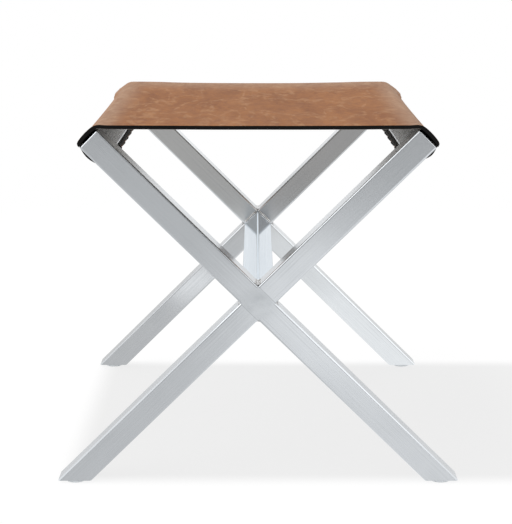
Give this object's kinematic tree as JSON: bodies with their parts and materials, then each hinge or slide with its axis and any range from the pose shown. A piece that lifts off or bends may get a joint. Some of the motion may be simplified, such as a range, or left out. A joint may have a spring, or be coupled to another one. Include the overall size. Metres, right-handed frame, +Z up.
{
  "type": "stool",
  "caption": "Low stool with a taut brown leather sling seat wrapped over two rails, on crossed frames of square brushed stainless tube joined by a stretcher, with small levelling glides.",
  "frame": {"origin": "on the floor, under the middle of the seat, with the glides screwed right in", "axes": "+Z up, +X to the right of someone facing the front, +Y from the front frame to the rear frame"},
  "size_m": [0.5, 0.5, 0.45],
  "materials": {
    "brushed_stainless": "satin, brushed along the tube",
    "polished_stainless": "fine polished",
    "weld_metal": "cleaned weld",
    "plain_stainless": "machined",
    "tan_leather": "thick waxed leather, mottled brown, with black painted edges and a grey suede back",
    "black_screw_steel": "blackened",
    "clear_plastic": "clear moulded, a little milky"
  },
  "bodies": {
    "frame": {"front_leg_long": "brushed_stainless", "front_leg_upper": "brushed_stainless", "front_leg_lower": "brushed_stainless", "rear_leg_long": "brushed_stainless", "rear_leg_upper": "brushed_stainless", "rear_leg_lower": "brushed_stainless", "left_rail": "brushed_stainless", "right_rail": "brushed_stainless", "stretcher": "polished_stainless", "crossing_welds": "brushed_stainless", "stretcher_welds": "weld_metal", "rail_welds": "weld_metal", "seat_leather": "tan_leather", "left_rail_screws": "black_screw_steel", "right_rail_screws": "black_screw_steel", "front_left_leg_cap": "brushed_stainless", "front_left_foot_plate": "brushed_stainless", "front_left_foot_nut": "plain_stainless", "front_right_leg_cap": "brushed_stainless", "front_right_foot_plate": "brushed_stainless", "front_right_foot_nut": "plain_stainless", "rear_left_leg_cap": "brushed_stainless", "rear_left_foot_plate": "brushed_stainless", "rear_left_foot_nut": "plain_stainless", "rear_right_leg_cap": "brushed_stainless", "rear_right_foot_plate": "brushed_stainless", "rear_right_foot_nut": "plain_stainless"},
    "front_left_glide": {"front_left_glide_stud": "plain_stainless", "front_left_glide_pad": "clear_plastic"},
    "front_right_glide": {"front_right_glide_stud": "plain_stainless", "front_right_glide_pad": "clear_plastic"},
    "rear_left_glide": {"rear_left_glide_stud": "plain_stainless", "rear_left_glide_pad": "clear_plastic"},
    "rear_right_glide": {"rear_right_glide_stud": "plain_stainless", "rear_right_glide_pad": "clear_plastic"}
  },
  "joints": [
    {"name": "front_left_glide_height", "type": "slide", "parent": "frame", "child": "front_left_glide", "axis": [0, 0, -1], "range_m": [0, 0.005]},
    {"name": "front_right_glide_height", "type": "slide", "parent": "frame", "child": "front_right_glide", "axis": [0, 0, -1], "range_m": [0, 0.005]},
    {"name": "rear_left_glide_height", "type": "slide", "parent": "frame", "child": "rear_left_glide", "axis": [0, 0, -1], "range_m": [0, 0.005]},
    {"name": "rear_right_glide_height", "type": "slide", "parent": "frame", "child": "rear_right_glide", "axis": [0, 0, -1], "range_m": [0, 0.005]}
  ]
}
